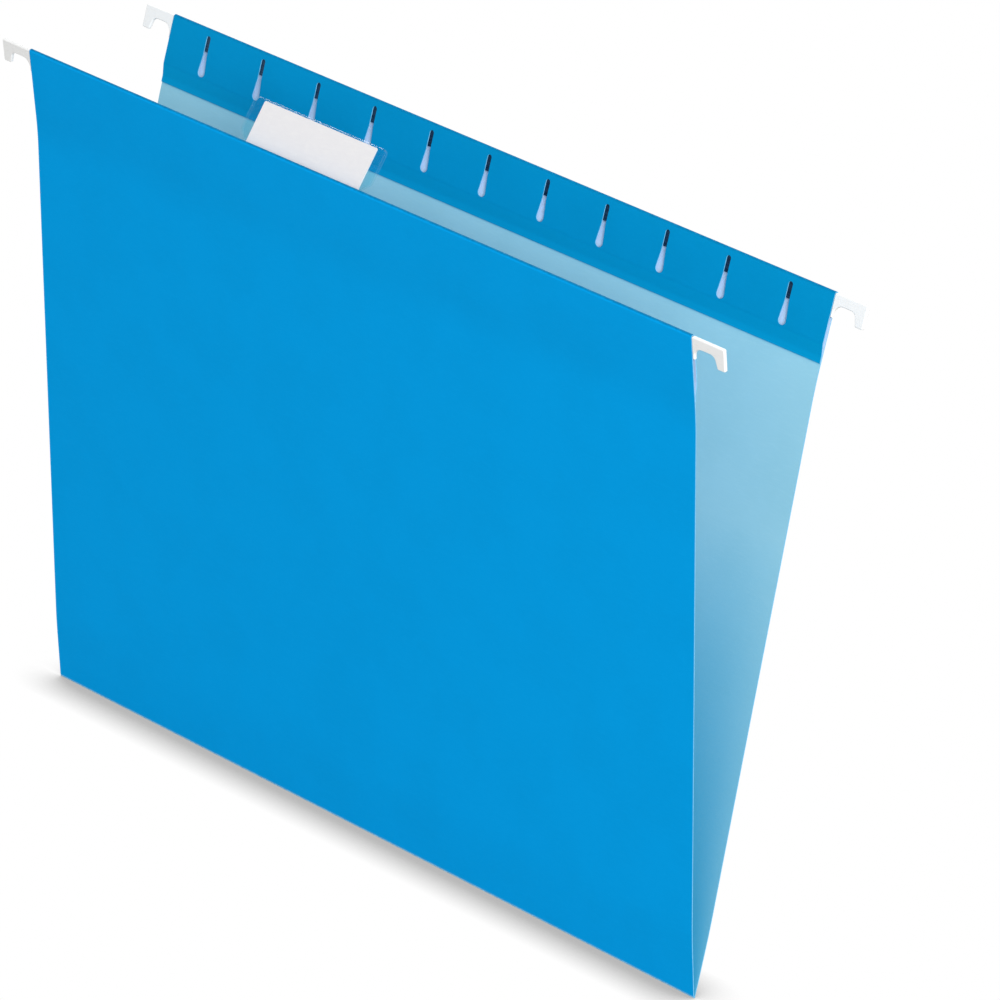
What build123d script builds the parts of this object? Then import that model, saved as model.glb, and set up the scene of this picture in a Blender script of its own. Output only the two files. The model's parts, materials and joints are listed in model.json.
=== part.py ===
from build123d import *
import os
from math import cos, radians, sin

# Hanging file folder, letter size, hung half open on two rails. Millimetres and degrees.
# X runs along the top edges, Y from the front leaf to the rear leaf, and Z is up.
# The origin lies midway between the leaves, at the level of the hook roofs that sit on the rails.

# Card leaves
panel_width = 298.45
panel_height = 235.0
card = 0.3
lean = 7.2
belly_tilt = 2.5
belly_length = 22.0
belly_radius = 300.0
flare_tilt = 4.5
flare_length = 30.0
flare_radius = 150.0

# Bottom fold
fold_offset = 0.1
fold_clearance = 0.06

# Hem that holds the rod
rod_clearance = 0.1
tunnel_depth = 16.6
press_length = 4.2
press_radius = 6.0
flap_height = 23.3
glue = 0.12
glue_margin = 0.4
glue_end_margin = 1.5

# Hanger rod, a flat steel strip
rod_height = 7.3
rod_thickness = 0.8
rod_top_gap = 0.3

# Hooks at the rod ends, with their dipped coating
hook_reach = 13.175
hook_neck = 3.0
notch_wall_offset = 0.425
notch_wall_radius = 3.6
notch_roof_radius = 2.4
tooth_root = 3.85
tooth_tip = 2.75
tooth_radius = 0.3
coating = 0.25
coating_gap = 0.2
coating_round = 0.35

# Slits along the flap
slit_pitch = 26.3
slit_edge_margin = 15.0
slit_top = 2.4
slit_bottom = 16.5
slit_flare_start = 9.0
slit_narrow = 1.8
slit_wide = 3.2

# Index tab, folded from clear sheet
tab_slit = -1
tab_sheet = 0.4
tab_clearance = 0.2
tab_lean = 31.0
tab_bend_depth = 6.35
tab_bend_radius = 0.6
tab_shoulder = 4.4
tab_wing = 3.4
tab_corner_radius = 1.5
ear_web = 0.8
ear_reach = 4.0
ear_height = 5.0
ear_clearance = 0.3
ear_radius = 1.0

# Paper label in the tab
label_width = 51.5
label_height = 15.8
label_thickness = 0.25
label_clearance = 0.15
label_seat_gap = 0.2
label_top_gap = 0.2
lip_height = 2.6

# Share of a gap or an edge that one round corner may take
corner_share = 0.45
single_corner_share = 0.95

# Sizes that follow from the ones above
tunnel_gap = rod_thickness + 2 * rod_clearance
flap_face = tunnel_gap + card
fold_bead_radius = fold_offset + card
half_panel = panel_width / 2
rod_top = -rod_top_gap
rod_bottom = rod_top - rod_height
hook_roof = rod_top - hook_neck
rod_end = half_panel + hook_reach
notch_wall = half_panel + notch_wall_offset
notch_roof_end = rod_end - tooth_root
tooth_inner = rod_end - tooth_tip
coating_start = half_panel + coating_gap
pocket_gap = label_thickness + 2 * label_clearance
pocket_top = lip_height + label_seat_gap + label_height + label_top_gap
tab_turn = tab_lean + lean + flare_tilt
tab_centre = tab_slit * slit_pitch
tab_back = flap_face + tab_clearance + tab_sheet
tab_bend = card - tab_bend_depth
neck_half = slit_pitch + ear_web / 2
wing_half = slit_pitch + tab_wing
ear_top = rod_bottom - ear_clearance
ear_bottom = ear_top - ear_height
ear_face = (tunnel_gap - tab_sheet) / 2
tab_travel = slit_bottom - card + ear_bottom - ear_clearance


def moved_left(points, radii, distance):
    """The same bent line, moved to its left: its corners and its bend radii."""
    runs = [(b - a).normalized() for a, b in zip(points, points[1:])]
    sides = [Vector(-run.Y, run.X) for run in runs]
    corners = [points[0] + sides[0] * distance]
    bends = []
    for i, radius in enumerate(radii):
        before, after = sides[i], sides[i + 1]
        corners.append(points[i + 1] + (before + after) * (distance / (1 + before.dot(after))))
        left_turn = runs[i].cross(runs[i + 1]).Z > 0
        bends.append(radius - distance if left_turn else radius + distance)
    corners.append(points[-1] + sides[-1] * distance)
    return corners, bends


def folded_sheet(points, radii, thickness, width):
    """Sheet bent along a line in the YZ plane, thickened to the line's left, centred on X."""
    points = [Vector(*point) for point in points]
    far_points, far_radii = moved_left(points, radii, thickness)
    near = FilletPolyline(*points, radius=radii)
    far = FilletPolyline(*far_points, radius=far_radii)
    ends = [Line(points[0], far_points[0]), Line(points[-1], far_points[-1])]
    section = make_face(near.edges() + far.edges() + [end.edge() for end in ends])
    return Plane.YZ * extrude(section, width / 2, both=True)


def upright_plate(outline, front, thickness):
    """Plate with an outline drawn in X and Z, from its front face towards the rear."""
    return Pos(0, front, 0) * (Plane.XZ * extrude(outline, -thickness))


def leaf_line():
    """Inner face of the card's main stretch, from the fold to the roof of the rod tunnel."""
    fold_end = Vector(-fold_offset, 0)
    belly_end = fold_end + Vector(-sin(radians(belly_tilt)), cos(radians(belly_tilt))) * belly_length
    main_end = belly_end + Vector(0, panel_height - card - belly_length - flare_length)
    hem_top = main_end + Vector(-sin(radians(flare_tilt)), cos(radians(flare_tilt))) * flare_length
    return [fold_end, belly_end, main_end, hem_top]


hem_top = leaf_line()[-1]
# In the hem frame, Y is the depth inwards from the outer card, and Z is up from the tunnel roof.
hem_frame = Pos(0, hem_top.X, hem_top.Y) * Rot(flare_tilt, 0, 0)
# In the tab frame, Z runs up the sloping window from the bend, and Y points to its back.
tab_frame = hem_frame * Pos(tab_centre, tab_back, tab_bend) * Rot(-tab_turn, 0, 0)
rail_level = (Rot(lean, 0, 0) * hem_frame * Pos(0, tunnel_gap / 2, hook_roof - coating)).position.Z
front_frame = Pos(0, 0, -rail_level) * Rot(lean, 0, 0)
rear_frame = Rot(0, 0, 180) * front_frame


def slit_outline():
    """Keyhole slit: a narrow upper part that flares into a round lower end."""
    top = Pos(0, card - slit_top - slit_narrow / 2) * Circle(slit_narrow / 2)
    middle = Pos(0, card - slit_flare_start) * Circle(slit_narrow / 2)
    bottom = Pos(0, card - slit_bottom + slit_wide / 2) * Circle(slit_wide / 2)
    return make_hull(top.edges() + middle.edges()) + make_hull(middle.edges() + bottom.edges())


def slit_places():
    """Places of the slits along the flap: one in the middle, and all that fit on each side."""
    each_side = int((half_panel - slit_edge_margin) / slit_pitch)
    return [i * slit_pitch for i in range(-each_side, each_side + 1)]


def panel():
    """One leaf of card, with its hem turned over to the inside and the slits in the flap."""
    inward = Vector(cos(radians(flare_tilt)), sin(radians(flare_tilt)))
    down = Vector(sin(radians(flare_tilt)), -cos(radians(flare_tilt)))
    flap_top = hem_top + inward * tunnel_gap
    press_start = flap_top + down * tunnel_depth
    press_end = hem_top + inward * glue + down * (tunnel_depth + press_length)
    flap_end = hem_top + inward * glue + down * (flap_height - card)
    line = leaf_line() + [flap_top, press_start, press_end, flap_end]
    roof_radius = corner_share * tunnel_gap
    radii = [belly_radius, flare_radius, roof_radius, roof_radius, press_radius, press_radius]
    sheet = folded_sheet(line, radii, card, panel_width)
    slit = upright_plate(slit_outline(), tunnel_gap / 2, card + tunnel_gap)
    return sheet - [hem_frame * Pos(x, 0, 0) * slit for x in slit_places()]


def fold_rod(radius):
    """Round bar on the fold line, as wide as the leaf."""
    return Plane.YZ * extrude(Circle(radius), half_panel, both=True)


def rod_half_outline():
    """Right half of the strip: its hook has a notch, open downwards, behind an end tooth."""
    wall_radius = min(notch_wall_radius, single_corner_share * (hook_roof - rod_bottom))
    corners = [
        (0, rod_top),
        (rod_end, rod_top),
        (rod_end, rod_bottom),
        (tooth_inner, rod_bottom),
        (notch_roof_end, hook_roof),
        (notch_wall, hook_roof),
        (notch_wall, rod_bottom),
        (0, rod_bottom),
    ]
    radii = [tooth_radius, tooth_radius, tooth_radius, notch_roof_radius, wall_radius, 0]
    edge = FilletPolyline(*corners, radius=radii)
    return make_face(edge.edges() + [Line(corners[-1], corners[0]).edge()])


def rod():
    """Hanger rod in the hem frame, with a hook at each end."""
    half = upright_plate(rod_half_outline(), rod_clearance, rod_thickness)
    return half + mirror(half, about=Plane.YZ)


def right_coating():
    """Dipped coating on the right hook, rounded on its outer edges, in the hem frame."""
    dipped = offset(rod_half_outline(), amount=coating)
    slab = upright_plate(dipped, rod_clearance - coating, rod_thickness + 2 * coating)
    rims = slab.faces().sort_by(Axis.Y)
    slab = fillet(rims[0].edges() + rims[-1].edges(), coating_round)
    reach = rod_end + coating - coating_start
    window = Pos(coating_start + reach / 2, 0, 0) * Box(reach, 4 * flap_face, 4 * rod_height)
    return (slab & window) - rod()


def glue_line():
    """Glue between the pressed flap and the outer card, in the hem frame."""
    top = -(tunnel_depth + press_length + glue_margin)
    bottom = -(flap_height - card - glue_margin)
    bead = Box(panel_width - 2 * glue_end_margin, glue, top - bottom)
    return Pos(0, glue / 2, (top + bottom) / 2) * bead


def tab_outline():
    """Outline of the tab seen square to its window: a neck, sloping shoulders and wings."""
    shoulder_end = tab_shoulder + wing_half - neck_half
    tab_top = pocket_top + tab_sheet
    neck_bottom = ear_bottom - tab_bend
    right = [
        (neck_half, neck_bottom),
        (neck_half, tab_shoulder),
        (wing_half, shoulder_end),
        (wing_half, tab_top),
    ]
    left = [(-x, z) for x, z in reversed(right)]
    radii = [0, tab_corner_radius, tab_corner_radius, tab_corner_radius, tab_corner_radius, 0]
    edge = FilletPolyline(*right, *left, radius=radii)
    return make_face(edge.edges() + [Line(left[-1], right[0]).edge()])


def ear_outline():
    """Right ear and its web, seen square to the flap, from the tab's middle."""
    web_start = slit_pitch - ear_web / 2
    length = ear_web / 2 + ear_reach + ear_web / 2
    plate = Pos(web_start + length / 2, (ear_top + ear_bottom) / 2) * Rectangle(length, ear_height)
    outer = plate.vertices().sort_by(Axis.X)[-2:]
    return fillet(outer, min(ear_radius, corner_share * ear_height))


def index_tab():
    """Clear tab in the leaf frame: base, window, back leaf with its lip, and ears in two slits."""
    rise = Vector(sin(radians(tab_turn)), cos(radians(tab_turn)))
    back = Vector(cos(radians(tab_turn)), -sin(radians(tab_turn)))
    bend = Vector(tab_back, tab_bend)
    window_top = bend + rise * pocket_top
    line = [
        Vector(tab_back, ear_bottom),
        bend,
        window_top,
        window_top + back * pocket_gap,
        bend + rise * lip_height + back * pocket_gap,
        bend + rise * lip_height + back * label_clearance,
    ]
    roof_radius = corner_share * pocket_gap
    radii = [tab_bend_radius + tab_sheet, roof_radius, roof_radius, label_clearance]
    sheet = folded_sheet(line, radii, tab_sheet, 2 * wing_half)
    sheet = hem_frame * Pos(tab_centre, 0, 0) * sheet
    trim_front = tab_back + ear_height + tab_bend_depth
    trim_depth = 2 * trim_front
    trim = tab_frame * upright_plate(tab_outline(), -trim_front, trim_depth)
    ear = upright_plate(ear_outline(), ear_face, tab_sheet)
    web_depth = tab_back - ear_face
    web = Box(ear_web, web_depth, ear_height)
    web = Pos(slit_pitch, ear_face + web_depth / 2, (ear_top + ear_bottom) / 2) * web
    right_ear = ear + web
    ears = right_ear + mirror(right_ear, about=Plane.YZ)
    return (sheet & trim) + hem_frame * Pos(tab_centre, 0, 0) * ears


def label_insert():
    """Paper label standing on the lip inside the tab."""
    foot = lip_height + label_seat_gap
    slip = Box(label_width, label_thickness, label_height)
    return tab_frame * Pos(0, pocket_gap / 2, foot + label_height / 2) * slip


def leaf_pieces():
    """Pieces that both leaves have, in the leaf frame."""
    right = right_coating()
    return {
        "rod": hem_frame * rod(),
        "right_hook_coating": hem_frame * right,
        "left_hook_coating": hem_frame * mirror(right, about=Plane.YZ),
        "glue_line": hem_frame * glue_line(),
    }


def nodes():
    """Every piece in its place, by name. Left and right are as seen from the front."""
    card_leaf = panel()
    shared = leaf_pieces()
    placed = {"front_" + name: front_frame * piece for name, piece in shared.items()}
    swapped = {"right_hook_coating": "left_hook_coating", "left_hook_coating": "right_hook_coating"}
    for name, piece in shared.items():
        placed["rear_" + swapped.get(name, name)] = rear_frame * piece
    placed["front_panel"] = front_frame * (card_leaf - fold_rod(fold_bead_radius + fold_clearance))
    placed["rear_panel"] = rear_frame * (card_leaf + fold_rod(fold_bead_radius))
    placed["index_tab"] = front_frame * index_tab()
    placed["label_insert"] = front_frame * label_insert()
    return placed


os.makedirs("parts", exist_ok=True)
for name, shape in nodes().items():
    export_step(shape, "parts/" + name + ".step")

roof_middle = hem_frame * Pos((notch_wall + notch_roof_end) / 2, tunnel_gap / 2, hook_roof - coating)
print("hook roof, front right:", (front_frame * roof_middle).position)
print("hem leans from the vertical by", lean + flare_tilt)
print("fold line lies below the hook roofs by", rail_level)
print("tab travel down its slits", tab_travel)
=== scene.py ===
"""Looks of a hanging file folder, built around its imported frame.

Two card leaves in a V each hold a flat rod in their hem, hooked and coated at both ends. A clear tab with
a paper label is plugged into the front hem. Lengths are metres and angles are radians.
"""

import json
import logging
import math
from collections.abc import Iterable, Sequence
from dataclasses import dataclass, field
from enum import Enum, IntEnum

import bmesh
import bpy
from bmesh.types import BMEdge, BMesh, BMFace, BMVert
from mathutils import Euler, Matrix, Vector


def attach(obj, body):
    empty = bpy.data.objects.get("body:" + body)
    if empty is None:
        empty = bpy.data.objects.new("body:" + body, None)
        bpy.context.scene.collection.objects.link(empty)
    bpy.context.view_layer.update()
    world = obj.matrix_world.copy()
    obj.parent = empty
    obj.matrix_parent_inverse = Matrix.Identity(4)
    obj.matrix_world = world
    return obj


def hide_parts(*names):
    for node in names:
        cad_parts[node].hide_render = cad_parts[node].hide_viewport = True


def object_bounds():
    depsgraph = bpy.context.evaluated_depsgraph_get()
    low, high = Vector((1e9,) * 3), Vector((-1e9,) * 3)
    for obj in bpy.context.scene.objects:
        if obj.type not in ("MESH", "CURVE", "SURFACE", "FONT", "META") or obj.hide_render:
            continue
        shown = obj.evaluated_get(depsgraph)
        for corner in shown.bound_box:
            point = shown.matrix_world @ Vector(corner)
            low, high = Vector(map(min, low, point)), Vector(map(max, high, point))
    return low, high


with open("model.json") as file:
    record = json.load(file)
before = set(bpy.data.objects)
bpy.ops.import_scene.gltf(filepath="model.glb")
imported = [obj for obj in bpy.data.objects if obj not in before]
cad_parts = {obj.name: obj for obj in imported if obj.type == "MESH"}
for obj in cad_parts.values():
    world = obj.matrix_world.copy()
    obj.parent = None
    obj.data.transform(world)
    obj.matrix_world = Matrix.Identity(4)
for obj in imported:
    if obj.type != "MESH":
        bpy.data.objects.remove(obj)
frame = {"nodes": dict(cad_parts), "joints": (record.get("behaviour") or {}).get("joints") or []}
cad_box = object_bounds()

log = logging.getLogger("hanging_folder")

MM = 0.001
QUARTER = math.pi / 2
# Points nearer than this are one point
TINY = 0.001 * MM
# Largest turn in one step of a bend, and the fewest steps of a bend
BEND_STEP = math.radians(11)
LEAST_BEND_STEPS = 8
# Faces that meet at more than this angle keep a crisp edge
CRISP_ANGLE = math.radians(32)
# Weight that shades a rounded rim by the large faces beside it
FLAT_WEIGHT = 100
# Spans of a noise over which a finish turns from one tone or roughness to the other
SOFT_SPAN = (0.35, 0.65)
WIDE_SPAN = (0.3, 0.7)
# Inputs and result of a colour mix
MIX_SHARE = 0
MIX_FIRST = 6
MIX_SECOND = 7
MIX_RESULT = 2

Colour = tuple[float, float, float, float]
Scale = tuple[float, float, float]
Span = tuple[float, float]
Socket = bpy.types.NodeSocket

WHITE: Colour = (1.0, 1.0, 1.0, 1.0)


class LeafSide(Enum):
    """The two leaves of the folder."""

    FRONT = "front"
    REAR = "rear"


class RodEnd(Enum):
    """The two ends of a rod, as seen from the front."""

    LEFT = -1
    RIGHT = 1


class CardFace(IntEnum):
    """Material slots of a card leaf."""

    OUTSIDE = 0
    INSIDE = 1
    CUT = 2
    HEM_LINING = 3
    # Flap faces take a darker copy of the outside finish: painted shade
    FLAP_PAINTED_SHADE = 4


class SheetFace(IntEnum):
    """Material slots of the clear tab."""

    CLEAR = 0
    RIM = 1


def srgb(red: int, green: int, blue: int) -> Colour:
    """Linear colour of a screen colour.

    Args:
        red: Red, 0 to 255.
        green: Green, 0 to 255.
        blue: Blue, 0 to 255.

    Returns:
        The linear colour, with an alpha of 1.
    """
    shares = [channel / 255 for channel in (red, green, blue)]
    linear = [s / 12.92 if s <= 0.04045 else ((s + 0.055) / 1.055) ** 2.4 for s in shares]
    return (*linear, 1.0)


# Sizes, as in the part's source


@dataclass(frozen=True)
class CardSizes:
    """Sizes of one card leaf and of the fold at its foot."""

    width: float = 298.45 * MM
    height: float = 235.0 * MM
    thickness: float = 0.3 * MM
    lean: float = math.radians(7.2)
    belly_tilt: float = math.radians(2.5)
    belly_length: float = 22.0 * MM
    belly_radius: float = 300.0 * MM
    flare_tilt: float = math.radians(4.5)
    flare_length: float = 30.0 * MM
    flare_radius: float = 150.0 * MM
    fold_offset: float = 0.1 * MM
    fold_clearance: float = 0.06 * MM
    fold_overlap: float = math.radians(25)

    @property
    def main_length(self) -> float:
        """Length of the straight stretch between the belly and the flare."""
        return self.height - self.thickness - self.belly_length - self.flare_length

    @property
    def fold_radius(self) -> float:
        """Outer radius of the rounded fold."""
        return self.fold_offset + self.thickness


@dataclass(frozen=True)
class HemSizes:
    """Sizes of the hem that is turned over around the rod."""

    tunnel_gap: float = 1.0 * MM
    tunnel_depth: float = 16.6 * MM
    roof_radius: float = 0.45 * MM
    press_length: float = 4.2 * MM
    press_radius: float = 6.0 * MM
    flap_height: float = 23.3 * MM
    glue: float = 0.12 * MM

    @property
    def press_drop(self) -> float:
        """How far the flap steps in where it is pressed onto the glue."""
        return self.tunnel_gap - self.glue


@dataclass(frozen=True)
class SlitSizes:
    """Sizes of the keyhole slits along the flap, measured down from the top edge."""

    pitch: float = 26.3 * MM
    each_side: int = 5
    top: float = 2.4 * MM
    bottom: float = 16.5 * MM
    flare_start: float = 9.0 * MM
    narrow: float = 1.8 * MM
    wide: float = 3.2 * MM
    round_steps: int = 8


@dataclass(frozen=True)
class HookSizes:
    """Sizes of one coated hook, in the hem's frame."""

    start: float = 149.425 * MM
    end: float = 162.4 * MM
    top: float = -0.3 * MM
    bottom: float = -7.6 * MM
    roof: float = -3.3 * MM
    notch_wall: float = 149.65 * MM
    notch_roof_end: float = 158.55 * MM
    tooth_inner: float = 159.65 * MM
    tooth_radius: float = 0.3 * MM
    roof_radius: float = 2.4 * MM
    wall_radius: float = 3.6 * MM
    strip_front: float = 0.1 * MM
    strip_thickness: float = 0.8 * MM
    coating: float = 0.25 * MM
    rim_round: float = 0.35 * MM
    corner_steps: int = 6
    rim_steps: int = 4


@dataclass(frozen=True)
class TabSizes:
    """Sizes of the clear tab, in the hem's frame, from the middle of its own width."""

    centre: float = -26.3 * MM
    sheet: float = 0.4 * MM
    back: float = 1.9 * MM
    bend_level: float = -6.05 * MM
    turn: float = math.radians(42.7)
    bend_radius: float = 1.0 * MM
    neck_half: float = 26.7 * MM
    wing_half: float = 29.7 * MM
    shoulder: float = 4.4 * MM
    shoulder_slope: float = math.radians(45)
    corner_radius: float = 1.5 * MM
    pocket_gap: float = 0.55 * MM
    pocket_top: float = 18.8 * MM
    roof_radius: float = 0.2475 * MM
    lip_height: float = 2.6 * MM
    lip_gap: float = 0.15 * MM
    ear_top: float = -7.9 * MM
    ear_bottom: float = -12.9 * MM
    ear_depth: float = 1.2 * MM
    ear_reach: float = 4.0 * MM
    ear_radius: float = 1.0 * MM
    columns: int = 8
    corner_steps: int = 5

    @property
    def low_round(self) -> Span:
        """Heights up the window at which the round above the sloping shoulder starts and ends.

        Returns:
            The two heights.
        """
        corner = self.shoulder + self.wing_half - self.neck_half
        trim = self.corner_radius * math.tan(self.shoulder_slope / 2)
        return corner - trim * math.cos(self.shoulder_slope), corner + trim

    @property
    def high_round(self) -> Span:
        """Heights up the window at which the round of its top corner and the roof's fold start."""
        return self.pocket_top + self.sheet - self.corner_radius, self.pocket_top - self.roof_radius


@dataclass(frozen=True)
class LabelSizes:
    """Sizes of the paper label that stands on the tab's lip."""

    width: float = 51.5 * MM
    height: float = 15.8 * MM
    thickness: float = 0.25 * MM
    foot: float = 2.8 * MM
    corner: float = 0.5 * MM
    corner_steps: int = 4
    rim: float = 0.05 * MM
    rim_angle: float = math.radians(45)
    rim_steps: int = 2


# Sheets that are bent from one edge


@dataclass(frozen=True)
class Fold:
    """A straight run of a sheet, measured from corner to corner, and the bend at its end."""

    run: float
    turn: float = 0.0
    radius: float = 0.0

    @property
    def trim(self) -> float:
        """Length that the bend takes from the runs on each side of its corner."""
        return self.radius * math.tan(abs(self.turn) / 2)


class BentSheet:
    """A sheet that grows from one edge along X, by straight runs and round bends in the YZ plane."""

    def __init__(self, half_width: float, start: Vector, heading: float, columns: int = 1) -> None:
        """Lays the first edge.

        Args:
            half_width: Half of the sheet's width along X.
            start: Middle of the first edge.
            heading: Turn about X from straight up to the way that the sheet grows.
            columns: Number of columns across the width.
        """
        self.bm: BMesh = bmesh.new()
        self.half_width = half_width
        self.place = start.copy()
        self.heading = heading
        ends = [self.bm.verts.new(start + Vector((side * half_width, 0, 0))) for side in (-1, 1)]
        edge = self.bm.edges.new(ends)
        if columns > 1:
            bmesh.ops.subdivide_edges(self.bm, edges=[edge], cuts=columns - 1)
        self.edge: list[BMEdge] = list(self.bm.edges)

    @property
    def ahead(self) -> Vector:
        """Direction in which the sheet grows."""
        return Vector((0, -math.sin(self.heading), math.cos(self.heading)))

    @property
    def left(self) -> Vector:
        """Direction to the left of the way the sheet grows, which is its outer side."""
        return Vector((0, -math.cos(self.heading), -math.sin(self.heading)))

    @property
    def edge_verts(self) -> list[BMVert]:
        """Vertices of the growing edge."""
        return list(dict.fromkeys(vert for edge in self.edge for vert in edge.verts))

    def run(self, length: float) -> None:
        """Grows the sheet straight ahead.

        Args:
            length: Length of the run.
        """
        step = self.ahead * length
        _, self.edge = extrude_edges(self.bm, self.edge, step)
        self.place += step

    def widen(self, half_width: float) -> None:
        """Scales the growing edge to a half width."""
        bmesh.ops.scale(self.bm, verts=self.edge_verts, vec=(half_width / self.half_width, 1, 1))
        self.half_width = half_width

    def bend(self, turn: float, radius: float, steps: int | None = None) -> None:
        """Grows the sheet round a bend.

        Args:
            turn: Turn about X, to the left where it is positive.
            radius: Radius of the bend.
            steps: Number of steps, or None for as many as the turn needs.
        """
        if steps is None:
            steps = max(LEAST_BEND_STEPS, math.ceil(abs(turn) / BEND_STEP))
        centre = self.place + self.left * math.copysign(radius, turn)
        made = bmesh.ops.spin(
            self.bm,
            geom=self.edge_verts + self.edge,
            cent=centre,
            axis=(1, 0, 0),
            angle=turn,
            steps=steps,
        )["geom_last"]
        self.edge = [part for part in made if isinstance(part, BMEdge)]
        self.place = centre + Matrix.Rotation(turn, 3, "X") @ (self.place - centre)
        self.heading += turn

    def press(self, folds: Sequence[Fold]) -> None:
        """Grows the sheet by several runs.

        Args:
            folds: The runs in order, each with the bend at its end.
        """
        taken = 0.0
        for fold in folds:
            self.run(fold.run - taken - fold.trim)
            if fold.turn:
                self.bend(fold.turn, fold.radius)
            taken = fold.trim

    def thicken(self, thickness: float) -> tuple[list[BMFace], list[BMFace], list[BMFace]]:
        """Gives the sheet its thickness, to the left of the way it grew.

        Args:
            thickness: Thickness of the sheet.

        Returns:
            The faces of the sheet as it grew, the faces opposite, and the faces of the rim.
        """
        grown = list(self.bm.faces)
        bmesh.ops.recalc_face_normals(self.bm, faces=grown)
        self.bm.normal_update()
        if self._last_run_faces_left():
            bmesh.ops.reverse_faces(self.bm, faces=grown)
        skin = set(self.bm.verts)
        bmesh.ops.solidify(self.bm, geom=grown, thickness=thickness)
        grown_faces: list[BMFace] = []
        far_faces: list[BMFace] = []
        rim_faces: list[BMFace] = []
        for face in self.bm.faces:
            shared = sum(vert in skin for vert in face.verts)
            if shared == len(face.verts):
                grown_faces.append(face)
            elif shared == 0:
                far_faces.append(face)
            else:
                rim_faces.append(face)
        return grown_faces, far_faces, rim_faces

    def _last_run_faces_left(self) -> bool:
        """Whether the sheet's last run faces to the left of its way."""
        return self.edge[0].link_faces[0].normal.dot(self.left) > 0


def move_new(bm: BMesh, made: Iterable[object], step: Vector) -> list[BMVert]:
    """Moves parts of a mesh that were just made.

    Args:
        bm: The mesh.
        made: The new vertices, edges and faces.
        step: How far they move.

    Returns:
        The new vertices.
    """
    verts = [part for part in made if isinstance(part, BMVert)]
    bmesh.ops.translate(bm, verts=verts, vec=step)
    return verts


def extrude_edges(bm: BMesh, edges: Sequence[BMEdge], step: Vector) -> tuple[list[BMVert], list[BMEdge]]:
    """Extrudes edges into faces.

    Args:
        bm: The mesh.
        edges: The edges.
        step: Way from the old edges to the new ones.

    Returns:
        The new vertices, and the new edges between them.
    """
    made = bmesh.ops.extrude_edge_only(bm, edges=edges)["geom"]
    verts = move_new(bm, made, step)
    ends = set(verts)
    return verts, [part for part in made if isinstance(part, BMEdge) and ends.issuperset(part.verts)]


def flat_plate(bm: BMesh, outline: Sequence[Sequence[float]], front: float) -> list[BMVert]:
    """Makes a face with a few corners, upright in the XZ plane.

    Args:
        bm: Mesh that gets the face.
        outline: X and Z of each corner.
        front: Y of the face.

    Returns:
        Its corners in order.
    """
    corners = [bm.verts.new((x, front, z)) for x, z in outline]
    bm.faces.new(corners)
    return corners


def round_off(bm: BMesh, parts: Sequence[BMVert] | Sequence[BMEdge], trim: float, steps: int) -> None:
    """Rounds corners of a flat plate, or edges of a closed one.

    Args:
        bm: Mesh with the plate.
        parts: The corners, or the edges.
        trim: Length that a round takes from each side.
        steps: Number of steps in a round.
    """
    are_edges = isinstance(parts[0], BMEdge)
    bmesh.ops.bevel(
        bm,
        geom=parts,
        offset=trim,
        offset_type="OFFSET",
        segments=steps,
        profile=0.5,
        affect="EDGES" if are_edges else "VERTICES",
        clamp_overlap=are_edges,
        material=-1,
    )


def extrude_plate(bm: BMesh, depth: float) -> None:
    """Extrudes the mesh's flat faces along Y into a closed plate, with its faces outwards.

    Args:
        bm: Mesh with the faces.
        depth: Thickness of the plate.
    """
    made = bmesh.ops.extrude_face_region(bm, geom=bm.faces[:])["geom"]
    move_new(bm, made, Vector((0, depth, 0)))
    bmesh.ops.recalc_face_normals(bm, faces=bm.faces[:])


def add_to_scene(name: str, data: bpy.types.ID) -> bpy.types.Object:
    """Makes an object of a mesh, a lamp or a camera.

    Args:
        name: Name of the object.
        data: What it shows.

    Returns:
        The object, linked to the scene.
    """
    thing = bpy.data.objects.new(name, data)
    bpy.context.scene.collection.objects.link(thing)
    return thing


def new_piece(name: str, bm: BMesh, materials: Sequence[bpy.types.Material]) -> bpy.types.Object:
    """Turns a finished bmesh into an object at the origin.

    Args:
        name: Name of the piece.
        bm: Its mesh, which is freed.
        materials: Its materials, in slot order.

    Returns:
        The object, linked to the scene.
    """
    mesh = bpy.data.meshes.new(name)
    bm.to_mesh(mesh)
    bm.free()
    for material in materials:
        mesh.materials.append(material)
    return add_to_scene(name, mesh)


def settle(piece: bpy.types.Object, body: str, node: str) -> None:
    """Shades a piece and ties it to the frame.

    Args:
        piece: The piece.
        body: Body that it rides on.
        node: Node that it replaces.
    """
    piece.data.shade_smooth()
    piece.data.set_sharp_from_angle(angle=CRISP_ANGLE)
    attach(piece, body)
    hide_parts(node)
    log.info("%s rides on %s and replaces %s, %d faces", piece.name, body, node, len(piece.data.polygons))


def keep_flats(piece: bpy.types.Object) -> None:
    """Shades a piece's large faces flat and only its small rounded rims smooth.

    Args:
        piece: The piece.
    """
    weights = piece.modifiers.new("flat_faces", "WEIGHTED_NORMAL")
    weights.mode = "FACE_AREA"
    weights.weight = FLAT_WEIGHT
    weights.keep_sharp = True


# Finishes


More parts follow.
